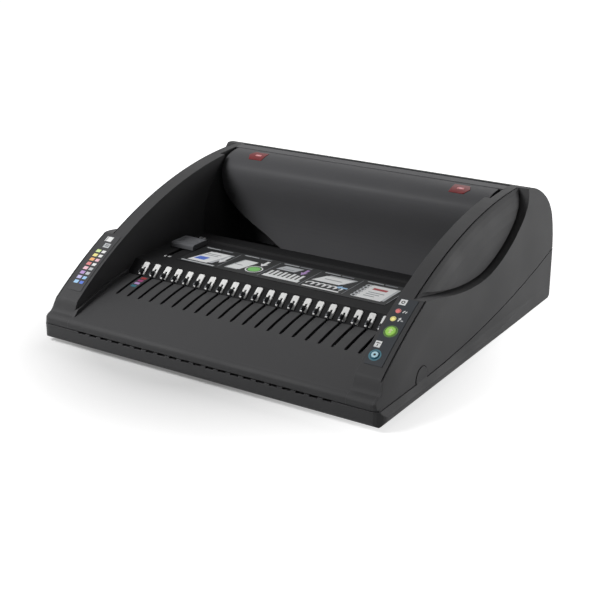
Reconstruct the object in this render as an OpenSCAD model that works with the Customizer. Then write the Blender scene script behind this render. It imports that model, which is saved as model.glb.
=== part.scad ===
// Electric comb binding machine: sloping bed with sliding hooks, punch behind a rounded hood

/* [Comb row] */
// Distance between two rings of a comb
comb_pitch = 14.2875; // [14:0.0125:14.6]
// Number of rings that the row takes
comb_rings = 21; // [17:2:23]
// Width of a forked tine
tine_w = 6.8; // [5:0.1:8]
// Length of a tine along the sloping skirt
tine_len = 17.5; // [15:0.5:18]
// Length of the slot in a tine's fork
fork_len = 9.3; // [8:0.1:11]
// Thickness of a tine
tine_t = 1.5; // [1:0.1:2]
// Thickness of a hook blade
hook_t = 1.6; // [1:0.1:1.8]
// Width of a hook's stem, front to back
hook_w = 4.5; // [3:0.1:5]
// Height of a hook above the foot of the tines
hook_rise = 8.5; // [6:0.5:10]
// Clearance of a hook in the tines, per side
hook_gap = 0.4; // [0.3:0.05:0.6]
// Width of the slots that the hooks run in
slot_w = 3.5; // [2.8:0.1:5]
// Travel of the hooks when they open a comb
open_travel = 34; // [20:1:36]

/* [Depths, front to back] */
// Front edge to the hook row
bed_len = 97; // [90:1:120]
// Hook row to the front edge of the instruction panel
hook_zone = 14; // [12:0.5:18]
// Depth of the instruction panel
panel_d = 72; // [66:1:100]
// Depth of the rail behind the panel
rail_d = 47; // [35:1:70]
// Open trough between the rail and the hood's nose
trough_d = 37.5; // [30:0.5:60]
// Hood's nose to the paper slot
hood_d = 51.5; // [48:0.5:64]
// Paper slot to the back of the machine
rear_d = 76; // [74:1:96]

/* [Widths] */
// Margin from the comb row to a side wall
bed_margin = 11.5; // [8:0.5:14]
// Step out of the side wall beside the trough
pocket_w = 6.5; // [5:0.5:7]
// Width of a side wall's top band
cheek_w = 15.5; // [15:0.5:18]
// Width of the ear that carries a label, beyond the band
ear_w = 11; // [8:0.5:12]
// Width from the band to the outside
shell_w = 21; // [18:0.5:24]
// How far the base flares out below the side panels
skirt_w = 4; // [3:0.5:6]
// Radius of the bottom edges along the sides
belly_r = 8; // [5:0.5:9]
// How far the sides of the base draw in at the back
rear_nip = 4; // [2:0.5:5]

/* [Heights above the table] */
// Height of the rubber feet
foot_h = 4; // [3:0.5:8]
// Top edge of the base at the front
seam_z = 21; // [20:0.5:23]
// Front lip of the bed
lip_z = 27; // [26:0.5:30]
// Front end of the side bands
band_front_z = 38; // [36:0.1:40]
// Bed at the foot of the tines
tine_foot_z = 52; // [50:0.5:54]
// Instruction panel
panel_z = 64; // [62:0.5:68]
// Rail behind the panel
rail_z = 60; // [56:0.5:61]
// Floor of the trough
trough_z = 30.5; // [29.5:0.5:36]
// Foremost line of the hood
nose_z = 121; // [116:0.5:124]
// Ridge in front of the paper slot
ridge_z = 143.5; // [141:0.5:150]
// Drop from the ridge to the axis of the punch pins
punch_drop = 45.5; // [44:0.5:47]

/* [Housing] */
// Wall of the mouldings
wall = 2.5; // [2:0.1:3]
// Radius of the arc along the side bands
band_r = 495; // [470:5:560]
// Corner radius of the housing in plan
corner_r = 12; // [8:0.5:13]
// Depth over which a flank flares out below its top edge
flare_d = 24; // [16:1:30]
// Width of the leaf recess, from its top edge outward
leaf_w = 9; // [8:0.5:11]
// Depth over which the leaf recess rolls over
leaf_d = 50; // [40:1:60]
// Width and depth of the grooves along the seams
seam_w = 1.2; // [0.8:0.1:1.4]
// Width of the shadow channel along the lower edge of the leaf
channel_w = 3.5; // [2:0.5:5]
// Radius of the round tongue in each side of the base
tongue_r = 10.5; // [8:0.5:12]
// Height that the side joint line gains towards the back
joint_lift = 44; // [40:1:50]
// Width of a grille notch under the front lip
notch_w = 9; // [5:0.5:10]
// Height of a grille notch
notch_h = 2.8; // [1:0.1:3]
// Clearance between neighbouring mouldings that must not bind
fit_gap = 0.3; // [0.2:0.05:0.5]

/* [Opener] */
// Radius of the guide rods
rod_r = 4; // [3:0.1:4.5]
// Height of the guide rods
rod_z = 23; // [21:0.5:23]
// Radius of the synchroniser shaft
synchro_r = 3; // [2:0.1:4]
// Teeth of a synchroniser pinion
synchro_teeth = 18; // [18:1:20]
// Length of the sliding knob
knob_l = 27; // [20:0.5:30]
// Width of the sliding knob
knob_w = 29; // [20:0.5:30]
// Height of the sliding knob
knob_h = 5.5; // [4:0.5:10]
// Clearance of shafts and rods in their bores, on the radius
run_gap = 0.05; // [0.02:0.01:0.1]

/* [Punch] */
// Long side of a punched hole
pin_w = 8; // [6:0.1:9]
// Short side of a punched hole
pin_t = 3; // [2:0.1:4]
// Edge of the sheet to the middle of the hole
pin_edge = 4.5; // [4:0.1:6]
// Throat between the die plate and the guide plate
throat = 3.2; // [2:0.1:4]
// Width of the paper slot at the top
mouth = 5; // [4.8:0.1:6]
// Stroke of the punch bar
stroke = 8; // [7.6:0.1:8.4]
// Thickness of the die plate
die_t = 3; // [2.5:0.1:3.5]
// Thickness of the guide plate
guide_t = 4; // [3:0.1:4.5]
// Thickness of the steel frame plates
frame_t = 3; // [2:0.1:4]
// Radius of the eccentric shaft
shaft_r = 4; // [3:0.1:4.5]
// Radius of an eccentric
cam_r = 8.5; // [8.5:0.1:9]
// Room that the yoke leaves for the eccentric, front and back
yoke_gap = 1.2; // [1:0.1:1.5]
// Teeth of the drive gear
gear_teeth = 40; // [36:1:40]
// Teeth of the motor pinion
pinion_teeth = 18; // [18:1:22]
// Gear module
gear_m = 1; // [0.9:0.05:1]

/* [Controls] */
// Radius of the power button
power_r = 4; // [3:0.1:5]
// Radius of the punch button
punch_r = 5; // [4:0.1:6]
// Radius of an indicator lens
lens_r = 1.8; // [1:0.1:2.5]
// Height that a button stands proud
button_rise = 1.4; // [1.2:0.1:3]
// Travel of a button
button_travel = 1; // [0.5:0.1:1.2]
// Thickness of the printed films
film_t = 0.4; // [0.2:0.05:0.6]

/* [Chip drawer] */
// Height of the drawer's tub
drawer_h = 19; // [12:0.5:20]
// Wall of the drawer
drawer_wall = 2; // [1.5:0.1:3]

/* [Hidden] */
$fn = 64;

charcoal = "#3c3d3f";
black = "#1c1c1e";
steel = "#a9adb1";

// Stations across the machine, measured from its middle
half_row = (comb_rings - 1) / 2 * comb_pitch;
half_bed = comb_rings * comb_pitch / 2 + bed_margin;
half_pocket = half_bed + pocket_w;
half_cheek = half_bed + cheek_w;
ear_x = half_cheek + ear_w;
edge_x = ear_x + 2;
half_w = half_cheek + shell_w;
flank_x = half_w - skirt_w;
skin_x = flank_x - wall;

// Stations from front to back, with the origin in the middle of the depth
body_d = bed_len + hook_zone + panel_d + rail_d + trough_d + hood_d + rear_d;
front_y = -body_d / 2;
hook_y = front_y + bed_len;
panel_y = hook_y + hook_zone;
rail_y = panel_y + panel_d;
trough_y = rail_y + rail_d;
nose_y = trough_y + trough_d;
ridge_y = nose_y + hood_d;
rear_y = ridge_y + rear_d;
mouth_y0 = ridge_y - mouth / 2;
mouth_y1 = ridge_y + mouth / 2;
floor_z = foot_h + wall;
punch_z = ridge_z - punch_drop;

// The band's arc passes through its front end and the ridge
band_a = [front_y + 8, band_front_z];
band_b = [ridge_y, ridge_z];
band_chord = norm(band_b - band_a);
band_dir = (band_b - band_a) / band_chord;
band_c = (band_a + band_b) / 2
    + [band_dir[1], -band_dir[0]] * sqrt(band_r * band_r - band_chord * band_chord / 4);
function band_z(y) = band_c[1] + sqrt(band_r * band_r - pow(y - band_c[0], 2));
function band_tilt(y) = asin((band_c[0] - y) / band_r);

function bez(a, b, c, d, n = 10) = [for (i = [0:n]) let (t = i / n, u = 1 - t)
    u * u * u * a + 3 * u * u * t * b + 3 * u * t * t * c + t * t * t * d];
function unit(v) = v / norm(v);
// Moves each point of a path to the right of its direction of travel
function beside(p, d) = [for (i = [0:len(p) - 1])
    let (t = unit(p[min(i + 1, len(p) - 1)] - p[max(i - 1, 0)])) p[i] + d * [t[1], -t[0]]];
function reversed(p) = [for (i = [len(p) - 1:-1:0]) p[i]];
// Joins two paths where the second starts at the end of the first
function chain(a, b) = concat(a, [for (i = [1:len(b) - 1]) b[i]]);
function comb_x(i) = (i - (comb_rings - 1) / 2) * comb_pitch;

// Side view of the whole housing: front, lip, band, back, bottom
lip_end = front_y + 17;
rear_knee = [rear_y - 18, ridge_z - 42.5];
rear_foot = [rear_y, foot_h + 9];
front_path = bez([front_y + 6, foot_h], [front_y + 2.5, foot_h], [front_y, foot_h + 2.5],
    [front_y, foot_h + 6], 5);
nose_end = [front_y + 7, lip_z + 3.6];
lip_nose = bez([front_y, lip_z - 2], [front_y, lip_z + 1], nose_end - [4, 0.6], nose_end, 5);
lip_path = chain(lip_nose, bez(nose_end, nose_end + [5, 0.6],
    [lip_end - 4, band_z(lip_end) - 4 * tan(band_tilt(lip_end)) - 1], [lip_end, band_z(lip_end)], 8));
band_path = [for (i = [1:24]) let (y = lip_end + (mouth_y1 - lip_end) * i / 24) [y, band_z(y)]];
back_path = chain(
    bez([mouth_y1, band_z(mouth_y1)], [mouth_y1 + 25, band_z(mouth_y1) - 3],
        rear_knee + [-8, 18], rear_knee, 10),
    bez(rear_knee, rear_knee + [8, -20], rear_foot + [-8.5, 32], rear_foot, 6));
foot_path = [[rear_y - 12, foot_h + 2], [rear_y - 17.5, foot_h], [rear_y - 40, foot_h]];
side_path = concat(front_path, lip_path, chain(band_path, back_path), foot_path);

// Joint line between the base and the parts above it
tongue_y = hook_y - 16;
tongue_z = seam_z + 2.3;
joint_y0 = tongue_y + tongue_r;
joint_y1 = rear_y + 9;
joint_path = concat([[front_y - 9, seam_z], [tongue_y - tongue_r, seam_z]],
    [for (i = [0:10]) let (y = joint_y0 + (joint_y1 - joint_y0) * i / 10)
        [y, seam_z + joint_lift * pow((y - tongue_y) / (rear_y - tongue_y), 2)]]);

// Swoosh along the side: tip at the back of the ear, low point, then up to the horn
tip_y = hook_y - 3.5;
swoosh_tip = [tip_y, band_z(tip_y)];
swoosh_low = [swoosh_tip[0] + 106, swoosh_tip[1] - 14];
swoosh_horn = [ridge_y - 1.5, band_z(ridge_y - 1.5) + 1];
swoosh_path = chain(
    bez(swoosh_tip, swoosh_tip + [18.5, 0.7], swoosh_low + [-52, 0], swoosh_low, 12),
    bez(swoosh_low, swoosh_low + [46, -1], swoosh_horn + [-12, -36.5], swoosh_horn, 12));

// Bed and the sloping skirt behind it
skirt_y = hook_y - 3.5;
skirt_z = tine_foot_z - 0.5;
skirt_top = [panel_y - 2, panel_z];
skirt_tilt = atan2(skirt_top[1] - skirt_z, skirt_top[0] - skirt_y);
bed_path = chain(lip_nose, bez(nose_end, [front_y + 30, lip_z + 11],
    [skirt_y - 31, tine_foot_z - 3.7], [skirt_y, tine_foot_z], 12));
bed_end = len(bed_path) - 1;
guide_start = len(lip_nose) - 1;
hook_y0 = hook_y - 3;
hook_y1 = hook_y0 + hook_w;
slot_y0 = hook_y0 - open_travel - 5.5;
slot_tip = hook_t / 2 + hook_gap;
tine_y0 = 2;
tine_cut = 1;
guide_w = 3;
guide_h = 4;

// Hook carriage, its rods and its synchroniser
bar_z0 = rod_z + 7;
bar_z1 = bar_z0 + 8;
car_y0 = hook_y - 8;
car_y1 = hook_y + 6;
block_y0 = car_y0 - 2;
block_y1 = car_y1 + 2;
rod_x = half_row - 5;
block_w = 16;
support_t = 7.5;
stop_gap = 2;
rack_x = half_row - 25;
rack_w = 8;
synchro_pitch_r = synchro_teeth * gear_m / 2;
rack_pitch_z = bar_z0 - 2 * gear_m;
synchro_z = rack_pitch_z - synchro_pitch_r;
rack_over = 7;
knob_x = -half_bed + 8.5 + knob_w / 2;
knob_y = rail_y - 10.5;
knob_lift = 0.6;
stem_w = 4;
arm_w = 7;

// Punch: throat, plates, bar, yokes, eccentric and drive
die_y0 = ridge_y - throat / 2 - die_t;
guide_y0 = ridge_y + throat / 2;
guide_y1 = guide_y0 + guide_t;
plate_z0 = punch_z - 14;
plate_z1 = punch_z + 30;
stop_z = punch_z - pin_edge;
pin_gap = 0.1;
pin_y0 = guide_y0 + 0.5;
bar_y0 = guide_y1 + stroke + 0.9;
bar_t = 6;
bar_h = 14;
throw = stroke / 2;
window_d = 2 * (cam_r + yoke_gap);
window_h = 2 * (cam_r + throw + 0.4);
yoke_x = 60;
yoke_w = 8;
yoke_rim = 2.5;
shaft_y = bar_y0 + bar_t + window_d / 2 - throw;
frame_x = half_row + pin_w / 2 + 0.7;
bush_r = shaft_r + 2.5;
bush_flange = 1.5;
gear_x0 = frame_x + frame_t + 2 * bush_flange;
gear_w = 6;
gear_r = gear_teeth * gear_m / 2;
pinion_r = pinion_teeth * gear_m / 2;
motor_z = punch_z - gear_r - pinion_r;
motor_shaft_r = 3;
gearbox_w = 34;
gearbox_l = 26;

// Chip drawer
drawer_x = frame_x - 3;
drawer_y0 = nose_y + 28;
drawer_y1 = rear_y - 10;
drawer_z0 = floor_z + fit_gap;
face_x = drawer_x + 4;
face_z1 = drawer_z0 + drawer_h + 4;

// Controls on the right band
power_at = [half_bed + 9.7, front_y + 33.7];
punch_at = [half_bed + 12.3, front_y + 56.9];
amber_at = [half_bed + 7.9, front_y + 68.8];
red_at = [half_bed + 8.4, front_y + 77.3];
label_x0 = half_bed + 3.5;
label_x1 = ear_x - 5;
label_y0 = front_y + 25.5;
label_y1 = swoosh_tip[0] - 2.2;
glue_t = 0.02;
board_depth = 9;

// Places of the screws and the ribs above them
rib_ys = [hook_y + 20, trough_y - 16, ridge_y - 16];
post_x = (half_pocket + half_cheek) / 2;
post_r = 3.6;
screw_r = 1.5;
head_r = 3.2;

// Draws a side view, y to the right and z up, from x0 to x1
module across(x0, x1) translate([x0, 0, 0]) rotate([90, 0, 90]) linear_extrude(x1 - x0) children();
// Draws a front view, x to the right and z up, from y0 to y1
module along(y0, y1) translate([0, y1, 0]) rotate([90, 0, 0]) linear_extrude(y1 - y0) children();
// Turns a section, radius then x, about the axis of the band's arc
module round_band(y0, y1) translate([0, band_c[0], band_c[1]]) rotate([90, 0, 90])
    rotate([0, 0, 90 + band_tilt(y1)])
    rotate_extrude(angle = band_tilt(y0) - band_tilt(y1), $fn = 720) children();
// Puts a piece on a band, with z along its normal
module at_band(p) translate([p[0], p[1], band_z(p[1])]) rotate([band_tilt(p[1]), 0, 0]) children();
module box(a, b) translate(a) cube(b - a);
module both() {
    children();
    mirror([1, 0, 0]) children();
}
module at_rings() for (i = [0:comb_rings - 1]) translate([comb_x(i), 0, 0]) children();
module rod_x_axis(x0, x1, y, z, r) translate([x0, y, z]) rotate([0, 90, 0]) cylinder(r = r, h = x1 - x0);

// Outline of an involute gear, one tooth on the positive x axis
function inv(a) = tan(a) - a * PI / 180;
function flank(r, pitch_r, teeth) = let (base_r = pitch_r * cos(20))
    90 / teeth + (inv(20) - (r > base_r ? inv(acos(base_r / r)) : 0)) * 180 / PI
    - 0.06 / pitch_r * 180 / PI;
module gear(teeth, w, bore) {
    pitch_r = teeth * gear_m / 2;
    root_r = pitch_r - 1.25 * gear_m;
    low_r = max(root_r + 0.01, pitch_r * cos(20));
    tip_r = pitch_r + gear_m;
    rs = [root_r, for (k = [0:3]) low_r + (tip_r - low_r) * k / 3];
    difference() {
        linear_extrude(w) polygon([for (t = [0:teeth - 1]) each concat(
            [for (r = rs) let (a = t * 360 / teeth - flank(max(r, low_r), pitch_r, teeth))
                r * [cos(a), sin(a)]],
            [for (r = reversed(rs)) let (a = t * 360 / teeth + flank(max(r, low_r), pitch_r, teeth))
                r * [cos(a), sin(a)]])]);
        translate([0, 0, -1]) cylinder(r = bore, h = w + 2);
    }
}
// Teeth of a rack that face down, one tooth at y = 0
module rack(from, to) {
    step = PI * gear_m;
    half = step / 4 - 0.06;
    lean = tan(20) * gear_m;
    polygon(concat([[to, 3 * gear_m], [from, 3 * gear_m]],
        [for (k = [ceil(from / step + 0.5):floor(to / step - 0.5)])
        each [[k * step - half - 1.25 * lean, 1.25 * gear_m], [k * step - half + 0.9 * lean, -0.9 * gear_m],
            [k * step + half - 0.9 * lean, -0.9 * gear_m], [k * step + half + 1.25 * lean, 1.25 * gear_m]]]));
}

// Side views used by several mouldings
module body_view() polygon(side_path);
module hollow_view() intersection() {
    polygon(beside(side_path, wall));
    translate([front_y, floor_z]) square([body_d, 2 * ridge_z]);
}
module below_joint() polygon(concat([[front_y - 9, -9]], joint_path, [[joint_y1, -9]]));
module swoosh_view() polygon(concat(swoosh_path,
    [[swoosh_horn[0], 2 * ridge_z], [swoosh_tip[0], 2 * ridge_z]]));
module before(y) translate([front_y - 9, -9]) square([y - front_y + 9, 2 * ridge_z]);
// Plan of the housing, d inside its outline, drawn in towards the back
module plan(d = 0) {
    rear_x = half_w - rear_nip;
    right = concat(
        [for (i = [0:6]) let (a = 15 * i - 90)
            [half_w - corner_r, front_y + corner_r] + (corner_r - d) * [cos(a), sin(a)]],
        [for (p = bez([half_w, rail_y], [half_w, nose_y], [rear_x, nose_y], [rear_x, rear_y - corner_r], 6))
            p - [d, 0]],
        [for (i = [1:6]) let (a = 15 * i)
            [rear_x - corner_r, rear_y - corner_r] + (corner_r - d) * [cos(a), sin(a)]]);
    linear_extrude(2 * ridge_z) polygon(concat(right, [for (p = reversed(right)) [-p[0], p[1]]]));
}
// Front view of the flared skirt that the base stands on, d inside its outline
skirt_path = chain(
    bez([half_w - belly_r, foot_h], [half_w - 0.45 * belly_r, foot_h], [half_w, foot_h + 0.45 * belly_r],
        [half_w, foot_h + belly_r], 5),
    bez([half_w, foot_h + belly_r], [half_w, foot_h + belly_r + 3], [flank_x, seam_z - 3],
        [flank_x, seam_z + 1], 6));
module skirts(d = 0) {
    right = concat([[half_w - belly_r - d, 0]], [for (p = skirt_path) p - [d, 0]],
        [[flank_x - d, 2 * ridge_z]]);
    along(front_y - 1, rear_y + 1) polygon(concat(right, [for (p = reversed(right)) [-p[0], p[1]]]));
}
// Room inside the crisp top edges and the flared flanks, d inside their surface
module flanks(d = 0) {
    half = concat(
        [[band_r + 1 - d, edge_x - 1 - d], [band_r - d, edge_x - 1 - d],
            [band_r - 0.3 - d, edge_x - 0.3 - d]],
        [for (i = [0:7]) let (t = 1 - i / 7)
            [band_r - 1 - d - flare_d * i / 7, flank_x - d - (flank_x - edge_x) * t * t]],
        [[band_r - 300, flank_x - d]]);
    round_band(front_y - 40, rear_y + 40) polygon(concat(half, [for (p = reversed(half)) [p[0], -p[1]]]));
}

module base() color(charcoal) difference() {
    union() {
        intersection() {
            difference() {
                union() {
                    across(-half_w, half_w) intersection() {
                        body_view();
                        below_joint();
                    }
                    both() rod_x_axis(skin_x - wall, half_w, tongue_y, tongue_z, tongue_r);
                }
                intersection() {
                    across(-half_w, half_w) hollow_view();
                    plan(wall);
                    skirts(wall);
                }
            }
            plan();
            skirts();
        }
        both() for (y = rib_ys) translate([post_x, y, foot_h]) cylinder(r = post_r, h = seam_z - foot_h);
        for (x = board_xs, y = board_ys) translate([x, y, foot_h]) cylinder(r = 3, h = board_z - foot_h);
    }
    at_rings() box([-notch_w / 2, front_y - 1, seam_z - notch_h],
        [notch_w / 2, front_y + wall + 1, seam_z + 1]);
    both() for (y = rib_ys) translate([post_x, y, 0]) {
        cylinder(r = screw_r + fit_gap, h = seam_z + 1);
        cylinder(r = head_r + fit_gap, h = foot_h + 2.4);
    }
    box([-face_x - fit_gap, drawer_y1 - 8, floor_z], [face_x + fit_gap, rear_y + 1, face_z1 + fit_gap]);
    inlet_block(0.01);
    difference() {
        across(-half_w - 1, half_w + 1)
            polygon(concat(joint_path, [for (p = reversed(joint_path)) p - [0, seam_w]]));
        intersection() {
            plan(seam_w);
            skirts(seam_w);
        }
        both() rod_x_axis(skin_x, half_w + 1, tongue_y, tongue_z, tongue_r);
    }
}

// Sloping bed with a low edge guide along its left side
module bed() color(charcoal) difference() {
    under = [for (p = beside(bed_path, wall)) [min(p[0], skirt_y), p[1]]];
    union() {
        across(-half_bed, half_bed) polygon(concat([[front_y, seam_z]], bed_path,
            reversed(under), [[front_y + wall, seam_z]]));
        across(-half_bed, guide_w - half_bed) polygon(concat([bed_path[guide_start]],
            [for (i = [guide_start + 1:bed_end]) bed_path[i] + [0, guide_h]],
            [for (i = [bed_end:-1:guide_start]) bed_path[i] - [0, wall / 2]]));
    }
    at_rings() translate([0, 0, floor_z]) linear_extrude(ridge_z) polygon([
        [-slot_tip, slot_y0], [slot_tip, slot_y0], [slot_w / 2, slot_y0 + 4], [slot_w / 2, skirt_y + 1],
        [-slot_w / 2, skirt_y + 1], [-slot_w / 2, slot_y0 + 4]]);
}

// Curved step in the inner wall beside the trough, moved back by d
module pocket_view(d = 0) {
    step_y = trough_y - 3 + d;
    polygon(concat([[step_y, 0]], bez([step_y, trough_z + 30], [step_y + 2, trough_z + 70],
        [step_y + 22, trough_z + 92], [step_y + 44, band_z(step_y + 44) - wall], 8),
        [[step_y + 50, 2 * ridge_z], [rear_y, 2 * ridge_z], [rear_y, 0]]));
}
module cheek_view() intersection() {
    body_view();
    translate([front_y, seam_z]) square([mouth_y1 - front_y, 2 * ridge_z]);
}
module cheek_hollow_view() intersection() {
    polygon(beside(side_path, wall));
    translate([front_y + wall, seam_z - 1]) square([mouth_y1 - front_y - 2 * wall, 2 * ridge_z]);
}
module ear_view(d) intersection() {
    children();
    before(swoosh_tip[0] - d);
}
module cheek() intersection() {
    plan();
    cheek_shell();
}
module cheek_shell() difference() {
    union() {
        across(half_cheek - 1, ear_x) ear_view(0) cheek_view();
        across(half_pocket, half_cheek) cheek_view();
        across(half_bed, half_pocket + 1) difference() {
            cheek_view();
            pocket_view();
        }
    }
    difference() {
        union() {
            intersection() {
                across(half_bed + wall, ear_x - wall) ear_view(wall) cheek_hollow_view();
                plan(wall);
            }
            across(half_pocket + wall, half_cheek - wall) cheek_hollow_view();
            across(half_bed + wall, half_cheek - wall) difference() {
                cheek_hollow_view();
                pocket_view(-wall);
            }
        }
        for (y = rib_ys) {
            box([half_bed, y - wall / 2, seam_z], [half_cheek, y + wall / 2, ridge_z]);
            translate([post_x, y, seam_z]) cylinder(r = post_r, h = 16);
        }
    }
    for (y = rib_ys) translate([post_x, y, seam_z - 1]) cylinder(r = screw_r + run_gap, h = 14);
}
module left_cheek() color(charcoal) mirror([1, 0, 0]) cheek();
module right_cheek() color(charcoal) difference() {
    cheek();
    at_band(power_at) translate([0, 0, -wall - 1]) cylinder(r = power_r + fit_gap, h = wall + 3);
    at_band(punch_at) translate([0, 0, -wall - 1]) cylinder(r = punch_r + fit_gap, h = wall + 3);
    for (p = [amber_at, red_at]) at_band(p) translate([0, 0, -wall - 1])
        cylinder(r = lens_r + run_gap, h = wall + 3);
}

// Outer skin with the flared flank, the leaf recess and the horn
module panel_view() difference() {
    body_view();
    below_joint();
}
module side_panel() intersection() {
    difference() {
        union() {
            across(ear_x, half_w) panel_view();
            across(half_cheek, half_w) intersection() {
                panel_view();
                before(mouth_y1);
            }
        }
        across(half_cheek - 1, ear_x) before(swoosh_tip[0]);
        difference() {
            across(half_cheek - 1, half_w + 1) swoosh_view();
            leaf();
        }
        across(half_cheek + wall, half_w + 1)
            polygon(concat(swoosh_path, reversed(beside(swoosh_path, -channel_w))));
        round_band(front_y - 40, swoosh_tip[0])
            translate([band_r - seam_w, ear_x - 1]) square([9, seam_w + 1]);
        intersection() {
            union() {
                across(half_cheek - 1, skin_x) skin_hollow_view() before(mouth_y1 - wall);
                across(ear_x - 1, skin_x) skin_hollow_view() before(rear_y);
            }
            flanks(wall);
            plan(wall);
        }
        rod_x_axis(skin_x - 1, half_w + 1, tongue_y - 0.8 * seam_w, tongue_z, tongue_r + seam_w);
    }
    flanks();
    plan();
}
// Room behind the skin, with a wall left along the swoosh
module skin_hollow_view() difference() {
    intersection() {
        polygon(beside(side_path, wall));
        children();
    }
    translate([0, -wall]) swoosh_view();
}
// Rolled surface of the leaf recess, behind a groove along the band
module leaf() round_band(front_y - 40, rear_y + 40) polygon(concat(
    [[band_r - 300, 0], [band_r - seam_w, 0], [band_r - seam_w, half_cheek + seam_w]],
    [for (i = [0:7]) let (t = i * i / 49)
        [band_r - leaf_d * t, half_cheek + seam_w + leaf_w * (1 - pow(1 - t, 4))]],
    [[band_r - 300, half_cheek + seam_w + leaf_w]]));
module left_side_panel() color(charcoal) mirror([1, 0, 0]) side_panel();
module right_side_panel() color(charcoal) side_panel();

// Hood: a rounded bulge that narrows downward, on a flat flange
flange_y0 = ridge_y - 11.5;
hood_half = half_pocket - 5;
hood_foot = [nose_y + 5, trough_z + 5];
hood_waist = [nose_y + 8, nose_z - 45];
hood_bend = [hood_half - 50, nose_z - 64.5];
hood_path = chain(chain(
    bez([ridge_y - 16, ridge_z - 0.5], [nose_y + 16, ridge_z - 0.5], [nose_y, nose_z + 15],
        [nose_y, nose_z], 20),
    bez([nose_y, nose_z], [nose_y, nose_z - 14], hood_waist + [-1.5, 18], hood_waist, 14)),
    bez(hood_waist, hood_waist + [1.2, -14], hood_foot + [2, 14], hood_foot, 8));
hood_end = chain(
    bez([hood_half, nose_z - 13], [hood_half, nose_z - 37], hood_bend + [27, 13.5], hood_bend, 12),
    bez(hood_bend, hood_bend - [16, 8], [hood_half - 80, hood_foot[1]], [hood_half - 100, hood_foot[1]], 10));
module bulge(d) intersection() {
    across(-half_w, half_w) polygon(concat([[flange_y0 + 1, ridge_z - 0.5 - d]], beside(hood_path, -d),
        [[flange_y0 + 1, hood_foot[1] + d]]));
    along(front_y, rear_y) polygon(concat([for (p = hood_end) p - [d, -d * 0.4]],
        [for (p = reversed(hood_end)) [d - p[0], p[1] + d * 0.4]],
        [[d - hood_half, ridge_z], [hood_half - d, ridge_z]]));
}
module hood() color("#333436") difference() {
    union() {
        bulge(0);
        box([-half_pocket, flange_y0, trough_z], [half_pocket, flange_y0 + wall, ridge_z]);
        box([-half_pocket, ridge_y - 16, ridge_z - wall], [half_pocket, mouth_y0, ridge_z]);
        box([-half_pocket, mouth_y0 - wall, plate_z1], [half_pocket, mouth_y0, ridge_z]);
    }
    bulge(wall);
    intersection() {
        bulge_shadow();
        box([-half_w, flange_y0 - 1, trough_z + 5], [half_w, flange_y0 + wall + 1, ridge_z - wall]);
    }
}
// Opening in the flange behind the bulge
module bulge_shadow() along(front_y, rear_y) polygon(concat([for (p = hood_end) p - [4 * wall, -wall]],
    [for (p = reversed(hood_end)) [4 * wall - p[0], p[1] + wall]],
    [[4 * wall - hood_half, ridge_z - 2 * wall], [hood_half - 4 * wall, ridge_z - 2 * wall]]));

module rear_cover() color(charcoal) intersection() {
    union() {
        across(-ear_x, ear_x) difference() {
            intersection() {
                body_view();
                translate([mouth_y1, 0]) square([body_d, 2 * ridge_z]);
            }
            below_joint();
            polygon(beside(side_path, wall));
        }
        box([-ear_x, mouth_y1, plate_z1], [ear_x, mouth_y1 + wall, ridge_z - wall]);
    }
    flanks();
}

module instruction_panel() color(black) difference() {
    across(-half_bed, half_bed) polygon([[rail_y, panel_z], skirt_top, [skirt_y, skirt_z],
        [skirt_y, skirt_z - 1.3 * wall], skirt_top + [0.5 * wall, -wall], [rail_y, panel_z - wall]]);
    at_rings() box([-slot_w / 2, skirt_y - 1, rod_z], [slot_w / 2, hook_y1 + 1, panel_z + 1]);
    box([knob_x - stem_w / 2 - 0.5, knob_y - open_travel - stem_w / 2 - 1, rod_z],
        [knob_x + stem_w / 2 + 0.5, knob_y + stem_w / 2 + 1, panel_z + 1]);
}
module instruction_label() color("#232427")
    box([-half_bed + 39.5, panel_y + 17, panel_z], [half_bed - 33.5, rail_y - 2, panel_z + film_t]);

module rear_rail() color(black) across(-half_bed, half_bed) polygon([[rail_y, rail_z + 3],
    [rail_y + 2, rail_z + 3], [rail_y + 5, rail_z], [rail_y + 20, rail_z], [rail_y + 22, rail_z + 2],
    [rail_y + 26, rail_z + 2], [rail_y + 28, rail_z], [trough_y - 2, rail_z], [trough_y, rail_z - 2],
    [trough_y, trough_z - wall], [trough_y - wall, trough_z - wall], [trough_y - wall, rail_z - wall],
    [rail_y, rail_z - wall]]);
module trough_floor() color(black)
    box([-half_pocket, trough_y, trough_z - wall], [half_pocket, flange_y0 + wall, trough_z]);

// Forked tines that lie on the skirt, one at each ring
module comb_tines() color("#e9eaec") at_rings() translate([0, skirt_y, skirt_z]) rotate([skirt_tilt, 0, 0])
    difference() {
        linear_extrude(tine_t) polygon([[-tine_w / 2, tine_y0], [tine_w / 2, tine_y0],
            [tine_w / 2, tine_len - tine_cut], [tine_w / 2 - tine_cut, tine_len],
            [tine_cut - tine_w / 2, tine_len], [-tine_w / 2, tine_len - tine_cut]]);
        box([-slot_tip, 0, -1], [slot_tip, tine_y0 + fork_len, tine_t + 1]);
    }

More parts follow.
